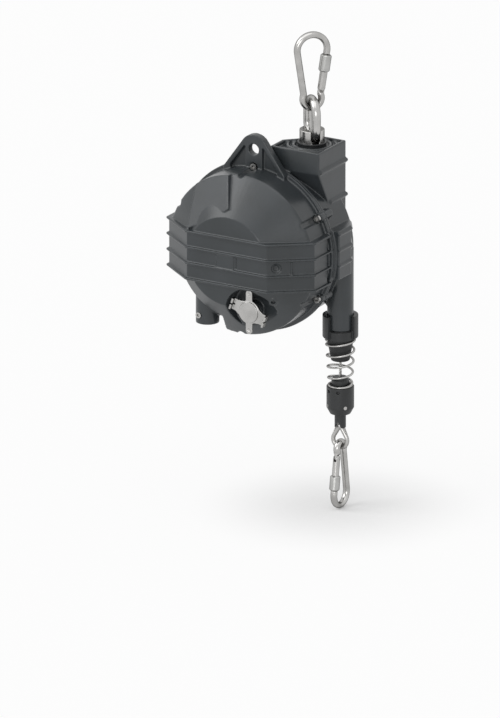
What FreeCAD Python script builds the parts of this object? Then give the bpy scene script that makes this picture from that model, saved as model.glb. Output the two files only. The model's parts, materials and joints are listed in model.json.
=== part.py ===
"""Tool balancer: a spring-driven cable reel in a cast casing, hung from a swivelling hook.

The shapes are drawn about the drum axis: Y is the drum axis, the casing's joint plane is y = 0,
the front cover faces -Y and +Z is up. At the end everything is moved so that the origin is the
point where the suspension hook hangs from its beam.
"""
import FreeCAD, Part

import math
import os

from FreeCAD import Vector

# ------------------------------------------------------------------ driving sizes, millimetres
# fits
running = 0.05            # radial clearance of a shaft that turns or slides in its bore
apart = 0.3               # gap left between faces of two bodies that move past each other

# casting
wall = 5.0                # wall of the cast casing
drum_flange = 106.5       # radius of the drum's rims
drum_room = drum_flange + 2.5         # round chamber that holds the drum
casing_radius = drum_room + wall + 2  # outside of the round casing
flange_radius = casing_radius + 6     # outside of the two flanges that meet at the joint plane
flange_thick = 4.5
seal_inner = drum_room + 1.5
seal_outer = drum_room + 5
seal_thick = 1.0

# front cover
cover_depth = 87.0        # joint plane to the flat front
cone_start = 49.0         # joint plane to where the front begins to slope in
plateau_radius = 64.0     # flat middle of the front
rim_radius = casing_radius - 2        # outer edge of the sloping front
scoop_start, scoop_end = 196.0, 258.0 # sector, in degrees, where the front is scooped out
scoop_radius = 88.0       # inner edge of the scoop, on the sloping front
scoop_back = 20.0         # joint plane to the scoop's outer edge
shoulder_top, shoulder_right = Vector(-15, -57.5, 115), Vector(0, -82.5, 75)
shoulder_left, shoulder_low = Vector(-70, -54.5, 92.6), Vector(-66, -72.5, 36)

# band of ribs round the casing
rib_count = 4
rib_pitch = 23.0
rib_thick = 3.0
rib_proud = 3.5
band_side = casing_radius + 1         # flat sides of the band, from the drum axis
pocket_width = 6.5        # gap between the band's sides and the flange
pad_width, pad_proud = 27.0, 2.0      # plain square between the middle ribs
slot_x = 15.0             # upright slot beside the pad
sight_x, sight_radius = 75.0, 7.0     # counterbored hole on the band's right slope
divider_x = 92.0          # upright rib on the same slope

# rear housing
housing_depth = 83.0      # joint plane to the back
back_radius = 92.0        # flat of the back
back_slope = 19.0         # depth of the sloping part of the back

# cable and its guide
cable_diameter = 4.0
cable_x = 104.0           # where the cable leaves the drum: the drum's radius at the groove
cable_y = 48.0
nozzle_radius = 18.5
nozzle_wall = 3.5
nozzle_end = -118.0
nozzle_top = -20.0
chute_side = 127.0        # outside of the block that covers the cable's way down
chute_back = 62.0
block_root = 70.0         # the side blocks start this far from the drum axis, inside the wall
chute_top = 39.0
chute_bottom = -32.0

# drum, springs and arbor
drum_front = 22.0
drum_back = 61.0
cable_turns = 4
groove_pitch = 5.2
arbor_radius = 10.0
arbor_front = -cover_depth + 17
bearing_long = 13.0       # front bearing of the arbor
arbor_back = 74.0
bush_wall = 4.0
hub_radius = 24.0
case_front = -18.0        # front face of the spring case
case_radius = 86.0
spring_room = 64.0
case_wall = 4.0
spring_turns = 7
spring_strip = 1.6
lock_circle = 76.0        # radius of the circle of lock holes
lock_holes = 12

# load adjuster
worm_x = -55.0
worm_y = -46.0
gear_module = 2.5
wheel_teeth = 36
wheel_width = 14.0
worm_length = 40.0
adjuster_top = -68.0      # top of the adjuster housing, inside the sloping front
rest_low, rest_high = 25.0, 34.0      # upper bearing of the worm
worm_shaft = 6.0
key_across = 8.0          # hexagon socket for the key
key_depth = 12.0
adjuster_radius = 16.5    # housing round the worm's lower end
adjuster_end = -108.0
adjuster_screw_z = -95.0
adjuster_screw_radius = 4.2

# drum lock
knob_x = 32.0
knob_z = -70.0
knob_face = -cover_depth + 6          # front of the knob's plate
knob_plate = 3.0
knob_disc = 17.0
knob_boss = 15.0
knob_boss_high = 2.0
knob_reach = 32.0         # centre to the tip of an arm
knob_arm = 10.0           # width of a flat arm
tip_bend = 8.0            # how far the grip tips stand forward
recess_radius = 34.2
recess_floor = -cover_depth + 27
lock_radius = 5.0         # lock pin
spindle_radius = 6.0
lock_travel = 12.0

# safety ear
ear_z = 143.0
ear_radius = 21.5
ear_bore = 8.0
ear_front = -13.5
ear_thick = 11.0
ear_spread = 49.0         # half width where the flanks meet the casing
ear_pillar = 13.5         # half width of the upright middle
ear_rim = 7.0             # width of the flanks beside the pockets
ear_pocket = 5.5          # depth of the pockets

# casing screws
screw_count = 6
screw_circle = casing_radius + 2
screw_radius = 3.0
screw_head = 5.0
screw_head_high = 5.0
screw_seat = -10.0        # under the heads
screw_boss = 6.8
screw_length = 26.0

# tower over the suspension swivel
tower_left = 16.0
tower_right = 94.0
tower_front = 5.0
tower_back = 80.0
tower_top = 146.5
tower_wall = 4.5
tower_floor = 124.0
tower_cut = 42.0          # back left corner, cut off by this much
bead_radius = 3.0
bead_heights = (118.0, 68.0)
lean_back = 0.55          # slope of the tower's front below the upper bead

# swivel
swivel_x = 58.0
swivel_y = 48.0
swivel_radius = 17.5
swivel_top = 166.0
swivel_bottom = 143.0
stem_radius = 8.0
stem_end = 104.0
seat_top = 138.0
seat_radius = swivel_radius + 3
collar_top = 148.5
ring_wire = 6.2           # radius of the eye ring's wire
ring_bottom = 147.6
ring_top = 215.0
ring_width = 52.0
ring_angle = -42.0        # plane of the ring, turned from +X
ring_pin = 2.2            # radius of its pin
slot_room = 1.2           # under the ring, so that it can swing

# suspension hook and tool hook: length, wire radius, half widths over the wide bend, the waist
# and the narrow bend, and the sleeve
top_hook = dict(length=117.0, wire=5.5, wide=27.2, waist=16.8, narrow=19.0, sleeve=24.0, sleeve_radius=7.9)
tool_hook = dict(length=103.0, wire=5.0, wide=22.5, waist=12.6, narrow=14.3, sleeve=21.0, sleeve_radius=7.2)
waist_bend = 8.0          # radius of the reverse bend at the waist
tool_hook_angle = -90.0   # side of its gate, turned from +X
gate_gap = 0.7            # between a gate's tip and the nose
sleeve_travel = 4.5       # up over the nose, which locks the gate
hook_pin = 2.0
tang_share = 0.36         # half thickness of the tang, as a share of the bar's radius

# pieces on the cable
guide_radius = 25.0
guide_top = -97.0
guide_bottom = -132.0
guide_bore = 20.4
bumper_end = -164.0
bumper_tip = 13.0
coil_wire = 1.65
coil_top_radius = 21.4
coil_bottom_radius = 17.4
coil_half_turns = 8
clamp_top = -198.0
clamp_step = -233.0
clamp_bottom = -242.0
clamp_radius = 19.3
clamp_foot = 14.5
clamp_angles = (-38.0, -128.0, 52.0, 142.0)     # its screws, round the cable
clamp_holes = (-117.0, -70.0)                   # assembly holes near its top
core_top = -189.0
core_radius = 12.5
sleeve_radius = 8.0
sleeve_bottom = -263.0
thimble_bottom = -296.0
thimble_width = 28.7
thimble_wire = 3.0
thimble_shift = 1.2       # the cable lies this far out in the thimble's groove

# ------------------------------------------------------------------ what follows from them
X = Vector(1, 0, 0)
Y = Vector(0, 1, 0)
Z = Vector(0, 0, 1)
cable_radius = cable_diameter / 2
band_half = rib_pitch * (rib_count - 1) / 2 + rib_thick / 2
cone_slope = (cover_depth - cone_start) / (rim_radius - plateau_radius)
wheel_pitch = gear_module * wheel_teeth / 2
worm_pitch = -worm_x - wheel_pitch
swivel_axis = Vector(swivel_x, swivel_y, 0)
cable_axis = Vector(cable_x, cable_y, 0)
knob_axis = Vector(knob_x, 0, knob_z)
worm_axis = Vector(worm_x, worm_y, 0)


# ------------------------------------------------------------------ helpers
def rod(radius, start, end):
    """A cylinder from one point to another."""
    along = end - start
    return Part.makeCylinder(radius, along.Length, start, along)


def upright(axis, radius, low, high):
    return rod(radius, axis + Z * low, axis + Z * high)


def along_y(axis, radius, near, far):
    return rod(radius, axis + Y * near, axis + Y * far)


def face_of(points):
    return Part.Face(Part.makePolygon(points + points[:1]))


def prism(points, direction):
    """A straight solid with the outline through the points."""
    return face_of(points).extrude(direction)


def turned(profile):
    """A solid of revolution about the drum axis; the profile is a list of (radius, y)."""
    outline = [Vector(radius, y, 0) for radius, y in profile]
    return face_of(outline).revolve(Vector(), Y, 360)


def turned_up(axis, profile):
    """A solid of revolution about an upright axis; the profile is a list of (radius, z)."""
    outline = [axis + Vector(radius, 0, z) for radius, z in profile]
    return face_of(outline).revolve(axis, Z, 360)


def fused(shapes):
    first = shapes[0]
    return first.fuse(shapes[1:]).removeSplitter()


def polar(radius, count, start=0.0):
    """Points spaced evenly round the drum axis."""
    angles = [math.radians(start + 360.0 * i / count) for i in range(count)]
    return [Vector(radius * math.cos(a), 0, radius * math.sin(a)) for a in angles]


def hexagon(across, base, direction):
    corner = across / math.sqrt(3)
    way = Vector(direction)
    way.normalize()
    side = X if abs(way.z) > 0.5 else Z
    other = way.cross(side)
    points = []
    for i in range(6):
        a = math.radians(60 * i)
        points.append(base + side * (corner * math.cos(a)) + other * (corner * math.sin(a)))
    return prism(points, direction)


def pipe(edges, radius):
    """A round bar along tangent lines and arcs."""
    path = Part.Wire(edges)
    start = edges[0].firstVertex().Point
    tangent = edges[0].tangentAt(edges[0].FirstParameter)
    section = Part.Wire(Part.makeCircle(radius, start, tangent))
    return path.makePipeShell([section], True, False)


def arc(centre, radius, start, end, across=X, up=Z):
    """An arc in the plane of two unit vectors, angles in degrees."""
    points = []
    for angle in (start, (start + end) / 2, end):
        a = math.radians(angle)
        points.append(centre + across * (radius * math.cos(a)) + up * (radius * math.sin(a)))
    return Part.Arc(*points).toShape()


def line(start, end):
    return Part.LineSegment(start, end).toShape()


def coil(wire, first, last, halves, height):
    """A coil about Z as half turns of a torus; each is tilted so that the next one carries it on."""
    turns = []
    for i in range(halves):
        way = 1 if i % 2 == 0 else -1
        near, far = (first + (last - first) * (i + k) / halves for k in (0, 1))
        start = Vector(way * near, 0, height * i / halves)
        end = Vector(-way * far, 0, height * (i + 1) / halves)
        section = Part.Face(Part.Wire(Part.makeCircle(wire, start, Y)))
        axis = (end - start).cross(Y) * -way
        turns.append(section.revolve((start + end) / 2, axis, 180))
    return turns


# ------------------------------------------------------------------ casing
def band_plan(side, grow):
    """Plan of the front band: flat sides, sloping corners and flat front, as points at z = 0."""
    front = -cover_depth - grow
    shift = grow * math.tan(math.atan(cone_slope) / 2)
    half = plateau_radius + shift
    corner = front + (side + grow - half) * cone_slope
    outline = [(side + grow, -flange_thick), (side + grow, corner), (half, front)]
    return outline + [(-x, y) for x, y in reversed(outline)]


def band(plan, near):
    """The band and its ribs from two plans, the second one grown by the ribs' height."""
    body, ribs = plan
    solids = [prism([Vector(x, min(y, near), -band_half) for x, y in body], Z * (2 * band_half))]
    for i in range(rib_count):
        base = (i - (rib_count - 1) / 2) * rib_pitch - rib_thick / 2
        solids.append(prism([Vector(x, y, base) for x, y in ribs], Z * rib_thick))
    return solids


def shoulder():
    """The wedge that stands proud of the sloping front, upper left, with a flat tilted face."""
    inside = Vector(-40, 0, 50)
    outside = Vector(-50, 0, casing_radius + 14)
    outline = [shoulder_top, shoulder_right, inside, shoulder_low, shoulder_left, outside]
    block = prism([Vector(p.x, -cover_depth, p.z) for p in outline], Y * (cover_depth - 20))
    normal = (shoulder_right - shoulder_top).cross(shoulder_left - shoulder_top)
    normal.normalize()
    if normal.y > 0:
        normal = normal * -1
    away = Part.makeBox(400, 400, 100, Vector(-200, -200, 0))
    away.Placement = FreeCAD.Placement(shoulder_top, FreeCAD.Rotation(Z, normal))
    return block.common(along_y(Vector(), casing_radius, -cover_depth, 0)).cut(away)


def wedge(start, end, near, far):
    """A sector of the casing between two angles, in degrees, for cutting and filling."""
    reach = 2 * casing_radius
    points = [Vector(0, near, 0)]
    for angle in (start, (start + end) / 2, end):
        a = math.radians(angle)
        points.append(Vector(reach * math.cos(a), near, reach * math.sin(a)))
    return prism(points, Y * (far - near))


def scoop_core(inset):
    """The cone inside the scoop, moved in by inset."""
    top = -cover_depth + cone_slope * (scoop_radius - plateau_radius)
    inner, outer = scoop_radius - inset, casing_radius - inset
    far = wall - scoop_back
    edge = [(inner, top - 40), (inner, top), (outer, -scoop_back), (outer, far)]
    return turned([(0, top - 40)] + edge + [(0, far)])


def scoop(outer):
    """What is added to and cut from the cover where its lower left front is scooped out."""
    spread = math.degrees(wall / scoop_radius)
    block = outer.common(wedge(scoop_start - spread, scoop_end + spread, -cover_depth, -scoop_back + wall))
    lining = block.cut(scoop_core(wall)).cut(along_y(Vector(), scoop_radius - wall, -cover_depth, 0))
    gap = wedge(scoop_start, scoop_end, -cover_depth - 20, -scoop_back).cut(scoop_core(0))
    return lining, gap


def ear():
    """The safety ear: a plate with tangent flanks, pockets beside an upright pillar, and its bore."""
    centre = Vector(0, ear_front, ear_z)
    foot = Vector(ear_spread, ear_front, casing_radius - 4)
    reach = foot - centre
    lean = math.acos(ear_radius / reach.Length)
    angle = math.atan2(reach.z, reach.x) + lean
    out = Vector(math.cos(angle), 0, math.sin(angle))
    touch = centre + out * ear_radius
    points = [touch, foot, Vector(foot.x, ear_front, drum_flange / 2)]
    outline = points + [Vector(-p.x, p.y, p.z) for p in reversed(points)]
    plate = prism(outline, Y * ear_thick)
    head = along_y(Vector(0, 0, ear_z), ear_radius, ear_front, ear_front + ear_thick)
    pockets = []
    along = (foot - touch)
    start = touch - out * ear_rim
    at_pillar = start + along * ((ear_pillar - start.x) / along.x)
    at_foot = start + along * ((casing_radius - start.z) / along.z)
    for way in (1, -1):
        low = casing_radius - 20
        corners = [at_pillar, at_foot, Vector(at_foot.x, 0, low), Vector(ear_pillar, 0, low)]
        pockets.append(prism([Vector(way * p.x, ear_front - 1, p.z) for p in corners], Y * (ear_pocket + 1)))
    hollow = along_y(Vector(), drum_room, -cover_depth, cover_depth)
    return plate.fuse(head).cut([hollow] + pockets)


def screw_places():
    return polar(screw_circle, screw_count, 30.0)


def slope_point(x):
    """The place and outward direction on the band's right slope at a given x, half way up."""
    out = Vector(cone_slope, -1, 0)
    out.normalize()
    return Vector(x, -cover_depth + cone_slope * (x - plateau_radius), 0), out


def band_details():
    """Pads added to the band between its middle ribs, and the slot and hole cut into it."""
    high = rib_pitch - rib_thick
    corner = Vector(-2 - pad_width / 2, -cover_depth - pad_proud, -high / 2)
    pad = Part.makeBox(pad_width, pad_proud + 1, high, corner)
    place, out = slope_point(divider_x)
    along = Vector(-out.y, out.x, 0)
    foot = [place - along * 1.2 - out * 2, place + along * 1.2 - out * 2,
            place + along * 1.2 + out * pad_proud, place - along * 1.2 + out * pad_proud]
    divider = prism([p - Z * (high / 2) for p in foot], Z * high)
    slot = Part.makeBox(2, 2.5, high - 2, Vector(slot_x - 1, -cover_depth - 1, -(high - 2) / 2))
    place, out = slope_point(sight_x)
    sight = rod(sight_radius, place - out * 2.2, place + out * 3)
    sight = sight.fuse(rod(sight_radius - 2.8, place - out * 4.2, place))
    return [pad, divider], [slot, sight]


def cone_hole(x, z, boss, bore, depth):
    """A small boss and blind hole square to the sloping front."""
    radius = math.hypot(x, z)
    place = Vector(x, -cover_depth + cone_slope * (radius - plateau_radius), z)
    out = Vector(cone_slope * x / radius, -1, cone_slope * z / radius)
    out.normalize()
    return rod(boss, place - out * 2, place + out * 1.2), rod(bore, place - out * depth, place + out * 3)


def front_cover():
    outer = turned([
        (0, 0), (flange_radius, 0), (flange_radius, -flange_thick), (casing_radius, -flange_thick),
        (casing_radius, -cone_start + 2), (rim_radius, -cone_start), (plateau_radius, -cover_depth),
        (0, -cover_depth)])
    room_front = -cover_depth + wall
    room = turned([
        (0, 0), (drum_room, 0), (drum_room, -cone_start + 3), (plateau_radius - 4, room_front),
        (0, room_front)])
    cup = along_y(knob_axis, recess_radius + wall, -cover_depth, recess_floor + wall)
    lining, gap = scoop(outer)
    shell = outer.fuse(shoulder()).cut(room).fuse([cup.common(outer), lining]).cut(gap)
    shell = shell.cut(along_y(knob_axis, recess_radius, -cover_depth - 20, recess_floor))
    body, ribs = band_plan(band_side, 0), band_plan(band_side, rib_proud)
    near = -flange_thick - pocket_width
    belt = fused(band((body, ribs), near)).cut(along_y(Vector(), drum_room, -cone_start, 0)).cut(room)
    pads, slots = band_details()
    lugs = [along_y(place, screw_boss, screw_seat, 0) for place in screw_places()]
    front_hub = along_y(Vector(), hub_radius - 4, -cover_depth + 1, arbor_front + bearing_long + 1)
    lock_hub = along_y(knob_axis, spindle_radius + 6, recess_floor - 8, recess_floor + 30)
    adjuster = upright(worm_axis, adjuster_radius, adjuster_end, adjuster_top)
    rest = upright(worm_axis, worm_shaft + 6, rest_low, rest_high)
    corner = Vector(worm_x - 4, -cover_depth + 2, rest_low)
    arm = Part.makeBox(8, cover_depth - 2 + worm_y, rest_high - rest_low, corner)
    eye_boss, eye_hole = cone_hole(66, -52, 6.5, 3, 3)
    cover = shell.fuse([belt, ear(), front_hub, lock_hub, adjuster, rest, arm, eye_boss] + lugs + pads)
    cuts = [along_y(Vector(0, 0, ear_z), ear_bore, ear_front - 1, ear_front + ear_thick + 1), eye_hole]
    for place in screw_places():
        cuts.append(along_y(place, screw_head + 1, -cover_depth - 10, screw_seat))
        cuts.append(along_y(place, screw_radius + 0.2, screw_seat - 1, 1))
    cuts.append(along_y(Vector(), arbor_radius + bush_wall, arbor_front, arbor_front + bearing_long + 2))
    cuts.append(along_y(knob_axis, spindle_radius + 2, recess_floor - 9, recess_floor + 31))
    cuts.append(upright(worm_axis, worm_shaft + 2, adjuster_end - 1, adjuster_top + 1))
    cuts.append(upright(worm_axis, worm_shaft + 2, rest_low - 1, rest_high + 1))
    cuts.append(along_y(Vector(), flange_radius + 20, 0, 40))
    seat = adjuster_screw_seat()
    cuts.append(rod(adjuster_screw_radius, seat, seat - Y * 10))
    return cover.cut(cuts + slots).removeSplitter()


def gasket():
    """The seal between the two flanges, inside the screws, in the rear flange's groove."""
    ring = along_y(Vector(), seal_outer, 0, seal_thick)
    return ring.cut(along_y(Vector(), seal_inner, 0, seal_thick))


def cover_screws():
    screws = []
    for place in screw_places():
        shank = along_y(place, screw_radius, screw_seat, screw_seat + screw_length)
        head = along_y(place, screw_head, screw_seat - screw_head_high, screw_seat)
        socket = hexagon(5, place + Y * (screw_seat - screw_head_high), Y * 3)
        screws.append(shank.fuse(head).cut(socket).removeSplitter())
    return Part.makeCompound(screws)


def tower_plan(inset):
    """Plan of the tower, its back left corner cut off, all walls moved in by inset."""
    cut = tower_cut - inset * (2 - math.sqrt(2))
    left, right = tower_left + inset, tower_right - inset
    near, far = tower_front + inset, tower_back - inset
    return [Vector(left, near, 0), Vector(right, near, 0), Vector(right, far, 0),
            Vector(left + cut, far, 0), Vector(left, far - cut, 0)]


def tower_block(inset, low, high):
    """The tower between two heights, its front leaning back below the upper bead."""
    block = prism([p + Z * low for p in tower_plan(inset)], Z * (high - low))
    top = bead_heights[0] - bead_radius
    back = tower_front + inset + lean_back * top
    lean = [(tower_front - 20, top), (tower_front + inset, top), (back, 0), (tower_front - 20, 0)]
    return block.cut(prism([Vector(0, y, z) for y, z in lean], X * (2 * tower_right)))


def tower_beads():
    """Rounded beads round the tower's right and back faces."""
    beads = []
    for height in bead_heights:
        lean = lean_back * max(0, bead_heights[0] - height)
        right, near, far = tower_right, tower_front + lean + 3, tower_back
        corner = Vector(right, far, height)
        beads.append(rod(bead_radius, Vector(right, near, height), corner))
        beads.append(rod(bead_radius, corner, Vector(tower_left + tower_cut + 2, far, height)))
        beads.append(Part.makeSphere(bead_radius, corner))
    return beads


def chute(grow, low, high):
    """The block beside the drum that covers the cable's way down."""
    side, back = chute_side + grow, chute_back + grow
    plan = [(block_root, flange_thick), (side, flange_thick), (side, back - 24), (side - 16, back),
            (block_root, back)]
    return prism([Vector(x, y, low) for x, y in plan], Z * (high - low))


def rear_band(grow, low, high):
    """The band on the rear housing's left side."""
    side, back = band_side + grow, chute_back + grow
    plan = [(-block_root, flange_thick), (-side, flange_thick), (-side, back - 12), (-side + 30, back),
            (-block_root, back)]
    return prism([Vector(x, y, low) for x, y in plan], Z * (high - low))


def rear_housing():
    slope_start = housing_depth - back_slope
    outer = turned([
        (0, 0), (flange_radius, 0), (flange_radius, flange_thick), (casing_radius, flange_thick),
        (casing_radius, slope_start), (back_radius, housing_depth), (0, housing_depth)])
    room = turned([
        (0, -1), (drum_room, -1), (drum_room, slope_start - 2),
        (back_radius - 4, housing_depth - wall), (0, housing_depth - wall)])
    solids = [outer, tower_block(0, 20, tower_top)] + tower_beads()
    solids += [chute(0, chute_bottom, chute_top), rear_band(0, -band_half, band_half)]
    for i in range(rib_count):
        low = (i - (rib_count - 1) / 2) * rib_pitch - rib_thick / 2
        solids.append(rear_band(rib_proud, low, low + rib_thick))
        if chute_bottom < low < chute_top - rib_thick:
            solids.append(chute(1.6, low, low + rib_thick))
    nozzle = upright(cable_axis, nozzle_radius, nozzle_end, nozzle_top)
    web = [Vector(60, cable_y - 4, -60), Vector(cable_x, cable_y - 4, -30),
           Vector(cable_x, cable_y - 4, guide_top + 2), Vector(cable_x - 14, cable_y - 4, guide_top + 2)]
    solids += [nozzle, prism(web, Y * 8)]
    body = solids[0].fuse(solids[1:])
    above = tower_block(tower_wall, tower_floor, tower_top + 1)
    under = tower_block(tower_wall, 60, tower_floor - 6)
    seat = upright(swivel_axis, seat_radius + 3, tower_floor - 6, seat_top)
    seat = seat.common(tower_block(0, 0, tower_top))
    body = body.cut([above, under]).fuse(seat).cut(room)
    hub = along_y(Vector(), hub_radius, drum_back + 3, housing_depth - 1)
    nuts = [along_y(p, screw_boss, 0, screw_seat + screw_length + 3) for p in screw_places()]
    body = body.fuse([hub] + nuts)
    cuts = [along_y(p, screw_radius, -1, screw_seat + screw_length) for p in screw_places()]
    cuts.append(along_y(Vector(), arbor_radius + bush_wall, drum_back + 2, arbor_back + 2))
    cuts.append(upright(swivel_axis, stem_radius + 2, tower_floor - 8, seat_top))
    cuts.append(upright(swivel_axis, swivel_radius + 2.5, seat_top, tower_top + 1))
    slot = along_y(Vector(), drum_room, 20, drum_back + 2).common(chute(0, chute_bottom, 20))
    cuts.append(slot)
    cuts.append(upright(cable_axis, nozzle_radius - nozzle_wall, nozzle_end - 1, 0))
    groove = along_y(Vector(), seal_outer, -1, seal_thick)
    cuts.append(groove.cut(along_y(Vector(), seal_inner, -1, seal_thick)))
    return body.cut(cuts).removeSplitter()


# ------------------------------------------------------------------ arbor, springs and drum
def bush(near, far):
    """A plain bush on the arbor."""
    outer = along_y(Vector(), arbor_radius + bush_wall, near, far)
    return outer.cut(along_y(Vector(), arbor_radius + running, near, far))


def arbor_shaft():
    """The shaft that holds the spring's inner end; the drum turns on it."""
    shaft = along_y(Vector(), arbor_radius, arbor_front + 0.2, arbor_back)
    collar = along_y(Vector(), arbor_radius + 4, case_front + case_wall + 1, drum_front - 4.5)
    return shaft.fuse(collar).removeSplitter()


def worm_wheel():
    """The wheel on the arbor, with slanting teeth that match the worm's lead."""
    tip, root = wheel_pitch + gear_module, wheel_pitch - 1.25 * gear_module
    lead = math.degrees(math.atan2(gear_module, 2 * worm_pitch))
    skew = wheel_width / 2 * math.tan(math.radians(lead)) / wheel_pitch
    step = 2 * math.pi / wheel_teeth
    wires = []
    for side in (-1, 1):
        points = []
        for i in range(wheel_teeth):
            middle = i * step + math.pi - side * skew
            for radius, part in ((root, -0.34), (tip, -0.13), (tip, 0.13), (root, 0.34)):
                a = middle + part * step
                y = worm_y + side * wheel_width / 2
                points.append(Vector(radius * math.cos(a), y, radius * math.sin(a)))
        wires.append(Part.makePolygon(points + points[:1]))
    wheel = Part.makeLoft(wires, True, True)
    hub = along_y(Vector(), hub_radius - 6, worm_y + wheel_width / 2, worm_y + wheel_width / 2 + 4)
    bore = along_y(Vector(), arbor_radius, -cover_depth, 0)
    return wheel.fuse(hub).cut(bore).removeSplitter()


def worm():
    """The adjusting worm: one helical thread on a shaft with a key socket at its lower end."""
    lead = math.pi * gear_module
    root = worm_pitch - 1.2 * gear_module
    tip = worm_pitch + 0.9 * gear_module
    turns = int(worm_length / lead)
    low = -turns * lead / 2
    helix = Part.makeHelix(lead, turns * lead, root - 0.2)
    profile = [Vector(root - 0.2, 0, -0.30 * lead), Vector(tip, 0, -0.10 * lead),
               Vector(tip, 0, 0.10 * lead), Vector(root - 0.2, 0, 0.30 * lead)]
    thread = Part.Wire(helix).makePipeShell([Part.makePolygon(profile + profile[:1])], True, True)
    thread.rotate(Vector(), Z, 180 * (turns + 1))
    thread.translate(worm_axis + Z * low)
    core = upright(worm_axis, root, low - 4, -low + 4)
    shaft = upright(worm_axis, worm_shaft, adjuster_end + 1, rest_high)
    socket = hexagon(key_across, worm_axis + Z * (adjuster_end + 1), Z * key_depth)
    return core.fuse([thread, shaft]).cut(socket)


def worm_bushes():
    """Bronze bushes for the worm shaft: in the adjuster housing and above the thread."""
    bushes = []
    for low, high in ((adjuster_end + 8, adjuster_top - 1), (rest_low, rest_high)):
        ring = upright(worm_axis, worm_shaft + 2, low, high)
        bushes.append(ring.cut(upright(worm_axis, worm_shaft + running, low, high)))
    return Part.makeCompound(bushes)


def spring_case():
    """The cup that holds the power spring, with a ring of lock holes; part of the drum."""
    cup = along_y(Vector(), case_radius, case_front, drum_front)
    room = along_y(Vector(), spring_room, case_front + case_wall, drum_front)
    holes = [along_y(p, lock_radius + 1, case_front - 1, case_front + lock_travel)
             for p in polar(lock_circle, lock_holes, math.degrees(math.atan2(knob_z, knob_x)))]
    bore = along_y(Vector(), arbor_radius + bush_wall, case_front - 1, case_front + case_wall + 1)
    return cup.cut([room, bore] + holes).removeSplitter()


def power_spring():
    """The spiral spring: half turns whose centres step from side to side, thick strip."""
    inner, outer = arbor_radius + 4.5, spring_room - 0.4
    halves = 2 * spring_turns
    step = (outer - inner - spring_strip) / halves
    def spiral(radius):
        edges = []
        x = radius
        for i in range(halves):
            r = radius + step * i + step / 2
            way = -1 if i % 2 == 0 else 1
            centre = Vector(x + way * r, 0, 0)
            start = 0 if way < 0 else 180
            edges.append(arc(centre, r, start, start + 180))
            x = centre.x + way * r
        return edges, x
    inside, x_in = spiral(inner)
    outside, x_out = spiral(inner + spring_strip)
    ends = [line(Vector(x_out, 0, 0), Vector(x_in, 0, 0)),
            line(Vector(inner, 0, 0), Vector(inner + spring_strip, 0, 0))]
    outline = Part.Wire(Part.__sortEdges__(inside + outside + ends))
    near, far = case_front + case_wall + 1, drum_front - 5
    strip = Part.Face(outline).extrude(Y * (far - near))
    strip.translate(Y * near)
    return strip


def cable_drum():
    """The cable drum: rim with a helical groove, web and hub, closing the spring case."""
    groove_radius = cable_x - cable_radius
    rim = along_y(Vector(), groove_radius + 2.5, drum_front, drum_back)
    inside = along_y(Vector(), groove_radius - 7, drum_front + 5, drum_back + 1)
    hub = along_y(Vector(), hub_radius, drum_front + 4, drum_back)
    ends = [along_y(Vector(), drum_flange + 1, drum_front, drum_front + 4)]
    body = rim.cut(inside).fuse([hub] + ends)
    bore = along_y(Vector(), arbor_radius + bush_wall, drum_front - 1, drum_back + 1)
    pad = along_y(Vector(), arbor_radius + 5, drum_front - 1, drum_front)
    length = groove_pitch * cable_turns
    groove = coil(cable_radius + 0.3, cable_x, cable_x, 2 * cable_turns, length)
    for turn in groove:
        turn.rotate(Vector(), X, -90)
        turn.translate(Y * (cable_y - length / 2))
    return body.cut([bore, pad] + groove).removeSplitter()


def drum_bushes():
    """The two bronze bushes on which the drum turns."""
    front = bush(case_front, case_front + case_wall)
    rear = bush(drum_back - 20, drum_back)
    return Part.makeCompound([front, rear])


def shaft_bushes():
    """The bushes that carry the arbor in the two halves of the casing."""
    front = bush(arbor_front + 1, arbor_front + bearing_long + 1)
    rear = bush(drum_back + 2.5, arbor_back + 2)
    return Part.makeCompound([front, rear])


# ------------------------------------------------------------------ load adjuster and drum lock
def adjuster_screw():
    """The screw that holds the worm's lower bush, on the front of its housing."""
    seat = adjuster_screw_seat()
    head = rod(adjuster_screw_radius, seat, seat - Y * 2.6)
    return head.cut(hexagon(4, seat - Y * 2.6, Y * 1.8))


def adjuster_screw_seat():
    return worm_axis + Vector(-5, -adjuster_radius + 1.5, adjuster_screw_z)


def knob():
    """The four-armed knob that works the drum lock: two flat arms and two with bent grips."""
    centre = knob_axis + Y * knob_face
    back = Y * knob_plate
    plate = rod(knob_disc, centre, centre + back)
    boss = rod(knob_boss, centre, centre - Y * knob_boss_high)
    solids = [plate, boss]
    half = knob_arm / 2
    for way in (1, -1):
        tip = centre + Z * (way * (knob_reach - half))
        low, high = sorted((centre.z, tip.z))
        arm = Part.makeBox(knob_arm, knob_plate, high - low, Vector(centre.x - half, centre.y, low))
        solids += [arm, rod(half, tip, tip + back)]
    for angle in (160.0, -20.0):
        turn = FreeCAD.Rotation(Y, -angle)
        inner, outer, wide = 8.0, 26.0, 8.5
        grip = [(inner, -13), (inner, 13), (outer - 6, wide), (outer, wide), (outer, -wide), (outer - 6, -wide)]
        arm = prism([Vector(x, 0, z) for x, z in grip], back)
        fold = Part.makeBox(knob_plate, tip_bend, 2 * wide, Vector(outer, knob_plate - tip_bend, -wide))
        notch = Part.makeBox(6, 20, 2.5, Vector(outer - 2, -12, -1.25))
        arm = arm.fuse(fold).cut(notch)
        arm.Placement = FreeCAD.Placement(centre, turn)
        solids.append(arm)
    dimples = [rod(2.2, centre + Z * (way * (knob_reach - 6)) - Y, centre + Z * (way * (knob_reach - 6)) + Y)
               for way in (1, -1)]
    return fused(solids).cut(dimples)


def knob_spindle():
    """The spindle behind the knob; its inner end is a cam that drives the lock pin."""
    near = knob_face + knob_plate
    shaft = along_y(knob_axis, spindle_radius, near, recess_floor + 6)
    collar = along_y(knob_axis, spindle_radius + 4, near, recess_floor - 9)
    return shaft.fuse(collar).removeSplitter()


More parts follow.
